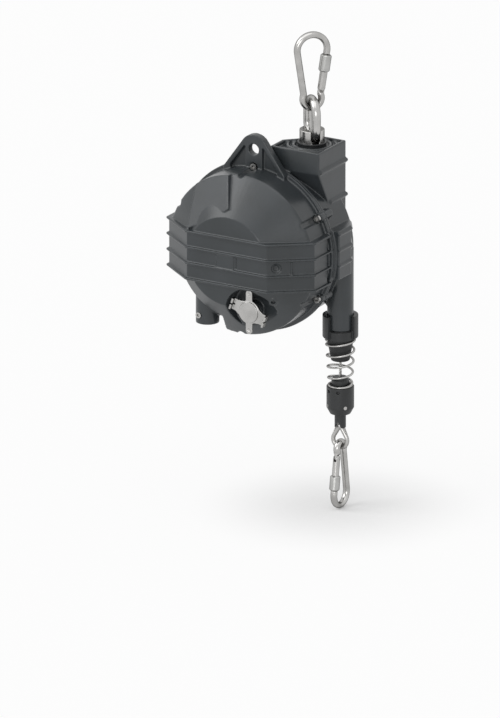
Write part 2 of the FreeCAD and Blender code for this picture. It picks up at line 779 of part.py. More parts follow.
def lock_bush():
    inner = spindle_radius + running
    near, far = recess_floor - 8.5, recess_floor + 30
    return along_y(knob_axis, spindle_radius + 2, near, far).cut(along_y(knob_axis, inner, near, far))


def lock_pin():
    """The pin that the knob pushes into the ring of holes in the spring case."""
    shoulder_y = case_front - lock_travel - 2
    body = along_y(knob_axis, spindle_radius, recess_floor + 6.5, shoulder_y)
    tip = along_y(knob_axis, lock_radius, shoulder_y, case_front - 1)
    return body.fuse(tip).removeSplitter()


# ------------------------------------------------------------------ swivel and eye ring
def swivel_collar():
    """The plastic thrust collar that the swivel turns in."""
    outer = upright(swivel_axis, swivel_radius + 2.5, seat_top, collar_top)
    rim = upright(swivel_axis, seat_radius, tower_top, collar_top)
    room = upright(swivel_axis, swivel_radius + running, swivel_bottom - apart, collar_top)
    stem = upright(swivel_axis, stem_radius + running, seat_top, collar_top)
    return outer.fuse(rim).cut([room, stem]).removeSplitter()


def ring_directions():
    a = math.radians(ring_angle)
    return Vector(math.cos(a), math.sin(a), 0), Vector(-math.sin(a), math.cos(a), 0)


def swivel():
    """The swivel's boss and stem, with the slot that the ring stands in and its pin's bore."""
    along, across = ring_directions()
    pin_z = ring_bottom + 2 * ring_wire + apart + ring_pin
    boss = upright(swivel_axis, swivel_radius, swivel_bottom, swivel_top)
    stem = upright(swivel_axis, stem_radius, stem_end, swivel_bottom)
    half = ring_wire + 0.5
    low = ring_bottom + half - slot_room
    far = swivel_radius + 5
    slot = rod(half, swivel_axis + Z * low - along * far, swivel_axis + Z * low + along * far)
    block = [swivel_axis + Z * low + across * (half * s) - along * far for s in (-1, 1)]
    block += [p + along * (2 * far) for p in reversed(block)]
    upper = prism(block, Z * (swivel_top - low + 1))
    pin = rod(ring_pin, swivel_axis + Z * pin_z - across * 30, swivel_axis + Z * pin_z + across * 30)
    return boss.fuse(stem).cut([slot, upper, pin]).removeSplitter()


def ring_pin_piece():
    across = ring_directions()[1]
    pin_z = ring_bottom + 2 * ring_wire + apart + ring_pin
    reach = swivel_radius - 0.2
    return rod(ring_pin, swivel_axis + Z * pin_z - across * reach, swivel_axis + Z * pin_z + across * reach)


def eye_ring():
    """The oval ring between the swivel and the suspension hook."""
    along = ring_directions()[0]
    bend = ring_width / 2 - ring_wire
    low = swivel_axis + Z * (ring_bottom + ring_wire + bend)
    high = swivel_axis + Z * (ring_top - ring_wire - bend)
    edges = [
        arc(low, bend, 180, 360, along), line(low + along * bend, high + along * bend),
        arc(high, bend, 0, 180, along), line(high - along * bend, low - along * bend)]
    return pipe(edges, ring_wire)


def swivel_washer():
    return upright(swivel_axis, stem_radius + 6, tower_floor - 8, tower_floor - 6).cut(
        upright(swivel_axis, stem_radius + 0.2, tower_floor - 8, tower_floor - 6))


def swivel_nut():
    low, high = stem_end, tower_floor - 8 - apart
    nut = hexagon(3 * stem_radius, swivel_axis + Z * low, Z * (high - low))
    return nut.cut(upright(swivel_axis, stem_radius, low, high))


def swivel_bush():
    """The bush in the tower's floor that guides the stem."""
    return upright(swivel_axis, stem_radius + 2, tower_floor - 6, seat_top).cut(
        upright(swivel_axis, stem_radius + running, tower_floor - 6, seat_top))


# ------------------------------------------------------------------ carabiner hooks
def hook_shape(hook):
    """Places of a pear-shaped hook; its bearing point in the narrow bend is the origin, +Z up
    into the wide bend, the gate on the +X side. The sides run in to the waist, and a small
    reverse bend leads from there round the narrow bend."""
    wire = hook["wire"]
    wide, waist, narrow = hook["wide"] - wire, hook["waist"] - wire, hook["narrow"] - wire
    low = Vector(0, 0, narrow - wire)
    high = Vector(0, 0, hook["length"] - 3 * wire - wide)
    lean = math.degrees(math.asin((wide - waist) / (high.z - low.z)))
    a = math.radians(lean)
    out = Vector(math.cos(a), 0, -math.sin(a))
    up = Vector(math.sin(a), 0, math.cos(a))
    rise = math.sqrt((narrow + waist_bend) ** 2 - (waist + waist_bend) ** 2)
    foot, nose = low + out * waist + up * rise, high + out * wide
    turn = math.degrees(math.atan2(rise, waist + waist_bend)) - lean
    return dict(wire=wire, wide=wide, narrow=narrow, low=low, high=high, lean=lean, out=out, up=up,
                foot=foot, nose=nose, rise=rise, waist=waist, turn=turn,
                pin=foot + up * (wire + 1), tip=nose - up * sleeve_travel)


def hook_body(hook):
    """The bent bar: nose, wide bend, back, narrow bend and the flat tang for the gate."""
    s = hook_shape(hook)
    wire, lean, turn = s["wire"], s["lean"], s["turn"]
    left = Vector(-s["out"].x, 0, s["out"].z)
    left_up = Vector(-s["up"].x, 0, s["up"].z)
    left_foot = s["low"] + left * s["waist"] + left_up * s["rise"]
    edges = [
        line(s["tip"], s["nose"]), arc(s["high"], s["wide"], -lean, 180 + lean),
        line(s["high"] + left * s["wide"], left_foot),
        arc(left_foot + left * waist_bend, waist_bend, lean, -turn),
        arc(s["low"], s["narrow"], 180 - turn, 360 + turn),
        arc(s["foot"] + s["out"] * waist_bend, waist_bend, 180 + turn, 180 - lean)]
    bar = pipe(edges, wire)
    half = tang_share * wire
    eye_radius = wire - 0.8
    tang = Part.makeBox(2 * eye_radius, 2 * half, wire + 3, Vector(-eye_radius, -half, -2))
    tang.Placement = FreeCAD.Placement(s["foot"], FreeCAD.Rotation(Y, lean)).multiply(tang.Placement)
    eye = rod(eye_radius, s["pin"] - Y * half, s["pin"] + Y * half)
    bore = rod(hook_pin, s["pin"] - Y * 20, s["pin"] + Y * 20)
    return bar.fuse([tang, eye]).cut(bore).removeSplitter()


def hook_gate(hook):
    """The gate: a round bar forked over the tang, its tip just short of the nose."""
    s = hook_shape(hook)
    wire = s["wire"]
    radius = wire - 0.1
    bar = rod(radius, s["pin"], s["tip"] - s["up"] * gate_gap)
    knuckle = Part.makeSphere(radius, s["pin"])
    half = tang_share * wire + apart
    room = Part.makeBox(4 * wire, 2 * half, 4 * wire, Vector(-2 * wire, -half, -3 * wire))
    room.Placement = FreeCAD.Placement(s["pin"], FreeCAD.Rotation(Y, s["lean"])).multiply(room.Placement)
    bore = rod(hook_pin + running, s["pin"] - Y * 20, s["pin"] + Y * 20)
    return bar.fuse(knuckle).cut([room, bore]).removeSplitter()


def hook_sleeve(hook):
    """The screw sleeve on the gate, with a chamfer at each end."""
    s = hook_shape(hook)
    top = s["tip"] - s["up"] * (gate_gap + 0.6)
    base = top - s["up"] * hook["sleeve"]
    outer, length, bevel = hook["sleeve_radius"], hook["sleeve"], 1.5
    profile = [(0, 0), (outer - bevel, 0), (outer, bevel), (outer, length - bevel),
               (outer - bevel, length), (0, length)]
    sleeve = turned_up(Vector(), profile).cut(upright(Vector(), s["wire"] + running, -1, length + 1))
    sleeve.Placement = FreeCAD.Placement(base, FreeCAD.Rotation(Y, s["lean"]))
    return sleeve


def hook_pin_piece(hook):
    s = hook_shape(hook)
    reach = s["wire"] - 0.4
    return rod(hook_pin, s["pin"] - Y * reach, s["pin"] + Y * reach)


def placed(shape, bearing, angle, upside_down):
    """A hook moved to its bearing point; angle is its gate's side, turned from +X."""
    shape = shape.copy()
    if upside_down:
        shape.rotate(Vector(), X, 180)
    shape.rotate(Vector(), Z, angle)
    shape.translate(bearing)
    return shape


# ------------------------------------------------------------------ pieces on the cable
def sector(inner, outer, middle, half, low, high):
    """A part of a ring about the cable, from middle - half to middle + half degrees."""
    ring = upright(cable_axis, outer, low, high).cut(upright(cable_axis, inner, low, high))
    far = 3 * outer
    points = [cable_axis + Z * (low - 1)]
    for angle in (middle - half, middle, middle + half):
        a = math.radians(angle)
        points.append(cable_axis + Vector(far * math.cos(a), far * math.sin(a), low - 1))
    return ring.common(prism(points, Z * (high - low + 2)))


def cable_guide():
    """The clip-on guide round the nozzle: a ring below and two side walls beside the nozzle."""
    ring = upright(cable_axis, guide_bore + 0.5, guide_bottom, nozzle_end - 1)
    walls = [sector(nozzle_radius + 0.1, guide_radius, middle, 42, guide_bottom, guide_top)
             for middle in (34, 214)]
    room = upright(cable_axis, nozzle_radius + 0.2, guide_bottom - 1, nozzle_end)
    bevel = turned_up(cable_axis, [
        (guide_radius - 5, guide_bottom - 1), (guide_radius + 4, guide_bottom - 1),
        (guide_radius + 4, guide_bottom + 6)])
    return ring.fuse(walls).cut([room, bevel]).removeSplitter()


def nozzle_bumper():
    """The rubber cone that ends the nozzle and takes the clamp's knock."""
    flange = nozzle_radius + 0.1
    cone = turned_up(cable_axis, [
        (0, nozzle_end), (flange, nozzle_end), (flange, guide_bottom - 2),
        (bumper_tip, bumper_end), (0, bumper_end)])
    return cone.cut(upright(cable_axis, cable_radius + 1, bumper_end - 1, nozzle_end + 1))


def bumper_spring():
    """The conical spring between the guide and the clamp."""
    low = clamp_top + coil_wire + 0.2
    high = guide_bottom - coil_wire - apart
    turns = coil(coil_wire, coil_bottom_radius, coil_top_radius, coil_half_turns, high - low)
    spring = turns[0].fuse(turns[1:])
    spring.translate(cable_axis + Z * low)
    return spring


def cable():
    """The cable from the drum's groove down to the eye, drawn in."""
    return upright(cable_axis, cable_radius, sleeve_bottom + 8, 0)


def stop_clamp():
    """The moulded shell of the stop clamp, with the seat of the spring in its top."""
    shell = turned_up(cable_axis, [
        (0, clamp_top), (clamp_radius - 1, clamp_top), (clamp_radius, clamp_top - 1),
        (clamp_radius, clamp_step), (clamp_foot, clamp_bottom), (0, clamp_bottom)])
    seat = upright(cable_axis, coil_bottom_radius + coil_wire + 0.3, clamp_top - 4, clamp_top + 1)
    room = upright(cable_axis, core_radius, clamp_bottom + 3, clamp_top)
    mouth = upright(cable_axis, sleeve_radius, clamp_bottom - 1, clamp_top)
    holes = [clamp_screw_hole(angle) for angle in clamp_angles]
    for angle in clamp_holes:
        a = math.radians(angle)
        way = Vector(math.cos(a), math.sin(a), 0)
        middle = cable_axis + Z * (clamp_top - 9.5)
        holes.append(rod(2.2, middle + way * (clamp_radius - 3), middle + way * (clamp_radius + 1)))
    return shell.cut([seat, room, mouth] + holes).removeSplitter()


def clamp_screw_hole(angle):
    a = math.radians(angle)
    way = Vector(math.cos(a), math.sin(a), 0)
    middle = cable_axis + Z * (clamp_step + 3)
    return rod(2.5, middle + way * (core_radius - 1), middle + way * (clamp_radius + 1))


def clamp_core():
    """The core that grips the cable inside the clamp."""
    core = turned_up(cable_axis, [
        (0, core_top), (core_radius - 3, core_top), (core_radius, core_top - 4),
        (core_radius, clamp_bottom + 3), (0, clamp_bottom + 3)])
    return core.cut(upright(cable_axis, cable_radius, clamp_bottom, core_top + 1))


def clamp_screws():
    screws = []
    for angle in clamp_angles:
        a = math.radians(angle)
        way = Vector(math.cos(a), math.sin(a), 0)
        middle = cable_axis + Z * (clamp_step + 3)
        screws.append(rod(2.5, middle + way * core_radius, middle + way * (clamp_radius - 0.2)))
    return Part.makeCompound(screws)


def ferrule():
    """The sleeve that closes the cable's eye, its lower end notched for the two strands."""
    sleeve = upright(cable_axis, sleeve_radius, sleeve_bottom, clamp_bottom + 3)
    notch = prism([cable_axis + Vector(x, -20, z) for x, z in
                   ((-5.5, sleeve_bottom - 1), (0, sleeve_bottom + 11), (5.5, sleeve_bottom - 1))], Y * 40)
    return sleeve.cut([notch, upright(cable_axis, cable_radius, sleeve_bottom, clamp_bottom + 4), cable_eye()])


def teardrop(bend, low, top, half):
    """A drop-shaped loop: two lines from the top, tangent to a round bend."""
    centre = cable_axis + Z * (low + bend)
    reach = Vector(half, 0, top - centre.z)
    lean = math.degrees(math.atan2(reach.z, reach.x) - math.acos(bend / reach.Length))
    a = math.radians(lean)
    right = centre + Vector(bend * math.cos(a), 0, bend * math.sin(a))
    left = Vector(2 * centre.x - right.x, centre.y, right.z)
    tip = cable_axis + Z * top
    return [line(tip - X * half, left), arc(centre, bend, 180 - lean, 360 + lean), line(right, tip + X * half)]


def cable_eye():
    """The cable's loop round the thimble."""
    bend = thimble_width / 2 - cable_radius
    return pipe(teardrop(bend, thimble_bottom + cable_radius, sleeve_bottom + 8, cable_radius + 0.1), cable_radius)


def thimble():
    """The grooved liner in the cable's eye."""
    bend = thimble_width / 2 - cable_radius - thimble_shift
    body = pipe(teardrop(bend, thimble_low, sleeve_bottom - 1, 2.2), thimble_wire)
    return body.cut(cable_eye())


# ------------------------------------------------------------------ the whole part
def hook_pieces(name, hook, bearing, angle, upside_down):
    pieces = {"": hook_body, "_gate": hook_gate, "_sleeve": hook_sleeve, "_pin": hook_pin_piece}
    return {name + end: placed(make(hook), bearing, angle, upside_down) for end, make in pieces.items()}


ring_bearing = swivel_axis + Z * (ring_top - 2 * ring_wire - apart)
thimble_low = thimble_bottom + cable_radius + thimble_shift
tool_bearing = cable_axis + Z * (thimble_low + thimble_wire + apart)
hang_point = ring_bearing + Z * (top_hook["length"] - 4 * top_hook["wire"])


def build():
    parts = {
        "front_cover": front_cover(), "rear_housing": rear_housing(), "flange_seal": gasket(),
        "cover_screws": cover_screws(), "arbor_shaft": arbor_shaft(), "worm_wheel": worm_wheel(),
        "worm": worm(), "worm_bush": worm_bushes(), "adjuster_screw": adjuster_screw(),
        "shaft_bushes": shaft_bushes(), "spring_case": spring_case(), "power_spring": power_spring(),
        "cable_drum": cable_drum(), "drum_bushes": drum_bushes(), "lock_knob": knob(),
        "lock_spindle": knob_spindle(), "lock_bush": lock_bush(), "lock_pin": lock_pin(),
        "swivel_collar": swivel_collar(), "swivel_bush": swivel_bush(), "swivel": swivel(),
        "swivel_washer": swivel_washer(), "swivel_nut": swivel_nut(), "eye_ring": eye_ring(),
        "ring_pin": ring_pin_piece(), "cable_guide": cable_guide(), "nozzle_bumper": nozzle_bumper(),
        "bumper_spring": bumper_spring(), "cable": cable(), "stop_clamp": stop_clamp(),
        "clamp_core": clamp_core(), "clamp_screws": clamp_screws(), "ferrule": ferrule(),
        "cable_eye": cable_eye(), "thimble": thimble()}
    parts.update(hook_pieces("suspension_hook", top_hook, ring_bearing, ring_angle + 90, False))
    parts.update(hook_pieces("tool_hook", tool_hook, tool_bearing, tool_hook_angle, True))
    return parts


os.makedirs("parts", exist_ok=True)
for name, shape in build().items():
    shape.translate(hang_point * -1)
    shape.exportStep("parts/" + name + ".step")
    print(name, shape.isValid(), len(shape.Solids), round(shape.Volume))
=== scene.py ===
# %% [markdown]
# # A tool balancer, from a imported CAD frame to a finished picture
# A tool balancer hangs above a bench and carries a tool on a steel cable. A flat coil spring
# in its drum pulls the cable back up, so the tool seems to weigh nothing. The CAD model gives
# every part and joint in its true place. Here those parts get the surfaces that a hand and an
# eye would find on the real thing: painted castings, zinc-plated steel, nylon, rubber and
# stranded wire. The frame is loaded first, because every place below is read from it.

# %% Load the frame
import json
import math

import bmesh
import bpy
import numpy as np
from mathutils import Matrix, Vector


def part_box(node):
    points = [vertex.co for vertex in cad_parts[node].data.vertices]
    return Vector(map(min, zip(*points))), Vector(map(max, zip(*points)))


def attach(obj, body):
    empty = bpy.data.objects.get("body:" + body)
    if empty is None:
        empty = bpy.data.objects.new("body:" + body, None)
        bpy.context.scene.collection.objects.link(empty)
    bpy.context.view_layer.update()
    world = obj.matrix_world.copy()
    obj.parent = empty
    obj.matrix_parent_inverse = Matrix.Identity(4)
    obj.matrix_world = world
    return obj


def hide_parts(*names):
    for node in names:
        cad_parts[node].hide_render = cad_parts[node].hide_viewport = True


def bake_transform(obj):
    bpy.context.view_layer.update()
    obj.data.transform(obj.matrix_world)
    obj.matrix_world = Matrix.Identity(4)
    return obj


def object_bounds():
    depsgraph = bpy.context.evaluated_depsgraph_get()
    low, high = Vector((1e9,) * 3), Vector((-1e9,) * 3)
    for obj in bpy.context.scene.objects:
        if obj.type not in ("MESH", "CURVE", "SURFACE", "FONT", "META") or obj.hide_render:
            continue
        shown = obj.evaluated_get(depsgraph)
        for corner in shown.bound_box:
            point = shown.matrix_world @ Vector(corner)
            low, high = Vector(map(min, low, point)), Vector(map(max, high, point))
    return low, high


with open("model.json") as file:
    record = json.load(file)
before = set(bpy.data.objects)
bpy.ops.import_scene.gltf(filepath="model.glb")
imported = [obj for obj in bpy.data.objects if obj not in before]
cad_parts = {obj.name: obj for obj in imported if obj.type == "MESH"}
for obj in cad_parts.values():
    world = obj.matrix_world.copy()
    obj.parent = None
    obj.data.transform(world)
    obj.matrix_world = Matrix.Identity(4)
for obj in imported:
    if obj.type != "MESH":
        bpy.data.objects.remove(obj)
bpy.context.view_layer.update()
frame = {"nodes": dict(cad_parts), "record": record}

nodes = frame["nodes"]
MM = 0.001


# %% [markdown]
# ## Reading places from the frame
# A CAD node's place is in its mesh, so the middle of its box is the middle of the part. The
# drum's box gives the axis that the casing is built round, and the seal's box gives the plane
# where the two halves of the casing meet. All other places follow from these two.

# %% The drum's axis and the joint plane
def middle(node):
    """The middle of a node's box: half the sum of its lowest and highest corners."""
    low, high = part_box(node)
    return (low + high) / 2


drum_middle = middle("cable_drum")
joint_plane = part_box("flange_seal")[0].y
drum_origin = Vector((drum_middle.x, joint_plane, drum_middle.z))
print("drum origin in mm:", [round(v / MM, 1) for v in drum_origin])


# %% [markdown]
# ## Colours and nodes
# Colours are written as they look on a screen, as sRGB hex values. Cycles works in linear light,
# so one function turns them. Another small function adds any shader node, because a material
# reads best as a list of nodes with their links written beside them.

# %% Two helpers for materials
def colour(hex_value):
    """An sRGB hex value as linear red, green, blue and a full alpha."""
    channels = [int(hex_value[i:i + 2], 16) / 255 for i in (0, 2, 4)]
    linear = [c / 12.92 if c <= 0.04045 else ((c + 0.055) / 1.055) ** 2.4 for c in channels]
    return (*linear, 1.0)


def add(tree, kind, settings=None, inputs=None):
    """Adds one node, gives it its settings, and sets or links each of its inputs."""
    made = tree.nodes.new("ShaderNode" + kind)
    for name, value in (settings or {}).items():
        setattr(made, name, value)
    for name, value in (inputs or {}).items():
        if isinstance(value, bpy.types.NodeSocket):
            tree.links.new(value, made.inputs[name])
        else:
            made.inputs[name].default_value = value
    return made


def new_material(name):
    """An empty node material and its output node."""
    material = bpy.data.materials.new(name)
    material.use_nodes = True
    material.node_tree.nodes.clear()
    output = add(material.node_tree, "OutputMaterial")
    return material, material.node_tree, output


print("colour('808080') is", [round(c, 3) for c in colour("808080")])

# %% [markdown]
# ## Painted die-cast aluminium
# A die casting is sprayed or powder coated in a dark grey that leans to blue-green. The coat
# is semi-gloss, so a broad soft highlight lies on every face that turns to the light. It isn't
# a mirror: powder flows out into a faint orange peel a couple of millimetres wide, and the
# skin of the casting below shows as a finer grain.

# %% Material: powder-coated die casting
def grain(tree, size, detail=2.0, stretch=(1.0, 1.0, 1.0)):
    """Noise in Object coordinates. Its spots are about size metres wide, and longer along an
    axis whose stretch is over 1."""
    place = add(tree, "TexCoord")
    scaled = add(tree, "Mapping", {"vector_type": "POINT"},
                 {"Vector": place.outputs["Object"], "Scale": tuple(1 / s for s in stretch)})
    return add(tree, "TexNoise", None,
               {"Vector": scaled.outputs["Vector"], "Scale": 1 / size, "Detail": detail})


def ramp(tree, source, stops):
    """A colour ramp over a 0 to 1 value; stops are (place, colour) pairs."""
    made = add(tree, "ValToRGB", None, {"Fac": source})
    while len(made.color_ramp.elements) < len(stops):
        made.color_ramp.elements.new(0.5)
    for element, (place, value) in zip(made.color_ramp.elements, stops):
        element.position = place
        element.color = value
    return made


def steps(tree, source, low, high):
    """A 0 to 1 value stretched to run from low to high."""
    return add(tree, "MapRange", None, {"Value": source, "To Min": low, "To Max": high})


def bump(tree, source, depth, under=None):
    """Turns a 0 to 1 height into a normal, depth in metres; under is another bump below it."""
    links = {"Height": source, "Distance": depth, "Strength": 1.0}
    if under is not None:
        links["Normal"] = under
    return add(tree, "Bump", None, links)


def powder_coat(name, hex_dark, hex_light, gloss):
    """Paint whose tone drifts between two colours, with orange peel and a finer skin on top;
    gloss is its middle roughness."""
    material, tree, output = new_material(name)
    cloud = grain(tree, 45 * MM, 3.0)
    peel = grain(tree, 2.6 * MM, 1.0)
    skin = grain(tree, 0.7 * MM, 2.0)
    tone = ramp(tree, cloud.outputs["Fac"], [(0.35, colour(hex_dark)), (0.65, colour(hex_light))])
    rough = steps(tree, skin.outputs["Fac"], gloss - 0.05, gloss + 0.05)
    waves = bump(tree, peel.outputs["Fac"], 0.035 * MM)
    fine = bump(tree, skin.outputs["Fac"], 0.02 * MM, waves.outputs["Normal"])
    surface = add(tree, "BsdfPrincipled", None, {
        "Base Color": tone.outputs["Color"], "Roughness": rough.outputs["Result"],
        "Normal": fine.outputs["Normal"], "IOR": 1.5})
    tree.links.new(surface.outputs["BSDF"], output.inputs["Surface"])
    return material


casting_paint = powder_coat("powder_coated_die_casting", "2D3133", "33373A", 0.31)
print("made", casting_paint.name)


# %% [markdown]
# ## Rubber, nylon, steel and bronze
# The seal and the bumper are rubber, which is darker and duller than the paint. The cable guide
# and the stop clamp are glass-filled nylon with a fine spark-eroded texture from the mould. The
# hooks, the ring and the screws are steel, bright but not mirror-like, because tumbling
# and plating leave a fine grain that spreads each highlight.

# %% Materials: the other finishes
edge_tint = "808080"    # a metal's reflection at grazing angles, against its colour face on


def moulded(name, hex_value, hex_spot, roughness, spot, depth):
    """Rubber or nylon: a fine even texture, with the roughness and colour moving a little with it."""
    material, tree, output = new_material(name)
    texture = grain(tree, spot, 3.0)
    broad = grain(tree, 20 * MM, 2.0)
    tone = ramp(tree, broad.outputs["Fac"], [(0.3, colour(hex_value)), (0.7, colour(hex_spot))])
    rough = steps(tree, texture.outputs["Fac"], roughness - 0.08, roughness + 0.08)
    height = bump(tree, texture.outputs["Fac"], depth)
    surface = add(tree, "BsdfPrincipled", None, {
        "Base Color": tone.outputs["Color"], "Roughness": rough.outputs["Result"],
        "Normal": height.outputs["Normal"], "IOR": 1.5})
    tree.links.new(surface.outputs["BSDF"], output.inputs["Surface"])
    return material


def metal(name, hex_dark, hex_light, roughness, spread, spot, depth, stretch=(1.0, 1.0, 1.0)):
    """A metal whose grain moves its tint, its roughness and, very slightly, its height. Its
    reflection loses light towards grazing angles, so a round bar is darker along its edges."""
    material, tree, output = new_material(name)
    texture = grain(tree, spot, 4.0, stretch)
    broad = grain(tree, 15 * MM, 2.0)
    tone = ramp(tree, broad.outputs["Fac"], [(0.3, colour(hex_dark)), (0.7, colour(hex_light))])
    rough = steps(tree, texture.outputs["Fac"], roughness - spread, roughness + spread)
    height = bump(tree, texture.outputs["Fac"], depth)
    surface = add(tree, "BsdfPrincipled", None, {
        "Base Color": tone.outputs["Color"], "Roughness": rough.outputs["Result"],
        "Normal": height.outputs["Normal"], "Metallic": 1.0, "Specular Tint": colour(edge_tint)})
    tree.links.new(surface.outputs["BSDF"], output.inputs["Surface"])
    return material


# After the name and two colours: roughness, for metals its spread, spot size and bump depth.
finishes = {
    "casing": casting_paint,
    "rubber": moulded("moulded_rubber", "1B1C1D", "202122", 0.62, 0.9 * MM, 0.03 * MM),
    "black_plastic": moulded("moulded_glass_filled_nylon", "1E2021", "242627", 0.45, 0.8 * MM,
                             0.03 * MM),
    "bright_steel": metal("polished_steel", "ADACAA", "BCBBB9", 0.24, 0.05, 0.6 * MM, 0.003 * MM),
    "zinc_steel": metal("zinc_plated_steel", "A9A9A7", "B9B9B7", 0.3, 0.07, 0.5 * MM, 0.005 * MM),
    "spring_steel": metal("drawn_spring_steel", "B4B3B2", "C4C3C2", 0.25, 0.08, 0.5 * MM, 0.008 * MM),
    "bronze": metal("sintered_bronze", "9A7443", "B58C55", 0.42, 0.1, 0.4 * MM, 0.02 * MM),
    "drum_alloy": metal("cast_aluminium_alloy", "A6A8AA", "B9BBBC", 0.5, 0.1, 0.8 * MM, 0.03 * MM),
}

slots = {}
for name, node in nodes.items():
    slots[name] = node.material_slots[0].material.name.split(".")[0]
    node.material_slots[0].material = finishes[slots[name]]
print("finishes by node:", slots)


# %% [markdown]
# ## The castings and the smaller parts
# A sharp CAD edge has no width, so it never catches the light, and real parts have no such
# edge: every corner has a radius. Each part's skin is taken from the frame, its loose
# triangles are joined, and a voxel remesh with a smoothing pass rounds each corner, inside
# corners too, as a foundry's fillets do. A large casting gets a voxel of about a millimetre,
# and a small turned or moulded part one of about half a millimetre. A bevel modifier would be
# quicker, but it can't round the many edges where ribs, bosses and cones run into each other.

# %% Skins with rounded corners
body_of = {node: body for body, members in frame["record"]["behaviour"]["bodies"].items()
           for node in members}


def joined(name, node):
    """A copy of a CAD node's mesh whose loose triangles share their corners."""
    source = nodes[node].data
    points = np.empty(len(source.vertices) * 3, np.float32)
    source.vertices.foreach_get("co", points)
    corners = np.empty(len(source.loops), np.int32)
    source.loops.foreach_get("vertex_index", corners)
    keys = np.round(points.reshape(-1, 3) / (0.001 * MM)).astype(np.int64)
    _, first, place = np.unique(keys, axis=0, return_index=True, return_inverse=True)
    faces = place.reshape(-1)[corners].reshape(-1, 3)
    a, b, c = faces.T
    distinct = (a != b) & (b != c) & (a != c)
    mesh = bpy.data.meshes.new(name)
    mesh.from_pydata(points.reshape(-1, 3)[first].tolist(), [], faces[distinct].tolist())
    return mesh


def dress(piece, node):
    """Gives a piece its node's finish, body and slot, and hides the node."""
    piece.data.materials.clear()
    piece.data.materials.append(finishes[slots[node]])
    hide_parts(node)
    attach(piece, body_of[node])


def rounded_skin(node, voxel, smoothing, share, extras=()):
    """A copy of a CAD node whose corners are rounded: joined, remeshed to a voxel, smoothed, and
    thinned to a share of its triangles. extras are closed solids, as pairs of points and faces,
    that the remesh makes one with it."""
    mesh = joined(node + "_skin", node)
    work = bmesh.new()
    work.from_mesh(mesh)
    for points, faces in extras:
        solid = bpy.data.meshes.new("extra")
        solid.from_pydata(points.reshape(-1, 3).tolist(), [], faces.tolist())
        work.from_mesh(solid)
        bpy.data.meshes.remove(solid)
    work.to_mesh(mesh)
    work.free()
    piece = bpy.data.objects.new(node + "_skin", mesh)
    bpy.context.scene.collection.objects.link(piece)
    remesh = piece.modifiers.new("voxels", "REMESH")
    remesh.mode = "VOXEL"
    remesh.voxel_size = voxel
    remesh.use_smooth_shade = True
    smooth = piece.modifiers.new("round", "SMOOTH")
    smooth.factor = 0.5
    smooth.iterations = smoothing
    thin = piece.modifiers.new("thin", "DECIMATE")
    thin.ratio = share
    graph = bpy.context.evaluated_depsgraph_get()
    baked = bpy.data.meshes.new_from_object(piece.evaluated_get(graph))
    piece.modifiers.clear()
    piece.data = baked
    dress(piece, node)
    print(piece.name, "triangles:", len(baked.polygons))


# The node, its voxel in mm, the smoothing passes and the share of triangles that is kept.
for node, voxel, smoothing, share in (
        ("front_cover", 1.0, 3, 0.3),
        ("lock_knob", 0.4, 4, 0.7), ("cable_guide", 0.6, 3, 0.4), ("nozzle_bumper", 0.6, 3, 0.4),
        ("stop_clamp", 0.5, 3, 0.4), ("clamp_core", 0.5, 3, 0.4), ("ferrule", 0.4, 2, 0.5),
        ("swivel", 0.4, 6, 1.0), ("swivel_collar", 0.5, 2, 0.5)):
    rounded_skin(node, voxel * MM, smoothing, share)


# %% [markdown]
# ## The rear housing and its tower
# The swivel stands in a square tower that is cast with the rear housing. A few millimetres
# below its rim the casting has a web round the swivel, stiffened by two ring-shaped ribs. The
# web is a flat plate with a round hole: at each angle round the swivel it reaches from the
# collar to the tower's wall, and its top is raised where a rib passes.
#
# The CAD solid has a slit where the cable's bore runs past the slanted back of the block beside
# the drum. A real casting's wall would be whole there, so the nozzle's round wall is carried on
# up past it. Only the half away from the drum is needed. The other half is a fault: inside the
# casing, out of sight, it stands in the drum. Both additions are grids of points, and the
# remesh joins them to the housing with fillets, as they would be in one casting.

# %% Faces between rings of points
def grid_faces(rings, sides, loop=False):
    """Quads between neighbouring rings of points, each ring closed on itself. In a loop, the
    last ring is joined to the first."""
    starts = np.arange(rings if loop else rings - 1)
    ring, side = np.meshgrid(starts, np.arange(sides), indexing="ij")
    after, on = (side + 1) % sides, (ring + 1) % rings
    quads = [ring * sides + side, ring * sides + after, on * sides + after, on * sides + side]
    return np.stack(quads, axis=-1).reshape(-1, 4)


def turned_grid(centre, angles, distance, height):
    """A closed solid round an upright axis. At each angle its section is a ring of points, given
    by their distance from the axis and their height; one row serves all angles, or one each."""
    distance, height = (np.broadcast_to(v, (len(angles), np.shape(v)[-1])) for v in (distance, height))
    points = np.stack([centre.x + distance * np.cos(angles)[:, None],
                       centre.y + distance * np.sin(angles)[:, None], height], axis=-1)
    return points, grid_faces(len(angles), points.shape[1], loop=True)


print("faces of a ring with a square section, in four steps:", len(grid_faces(4, 4, loop=True)))

# %% Web and ribs in the tower
# The tower's walls from the drum's axis and the joint plane, in mm, and the corner's cut.
wall_left, wall_right, wall_front, wall_back = 16.0, 94.0, 5.0, 80.0
corner_cut = 42.0
into_wall = 2.0         # the web ends in the middle of the wall
web_inner = 19.0        # inside the collar
web_thick, web_down = 2.5, 5.5
rib_high, rib_wide, rib_radii = 4.0, 2.4, (26.0, 34.0)

collar_middle = middle("swivel_collar")
tower_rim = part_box("swivel_collar")[1].z - 2 * MM


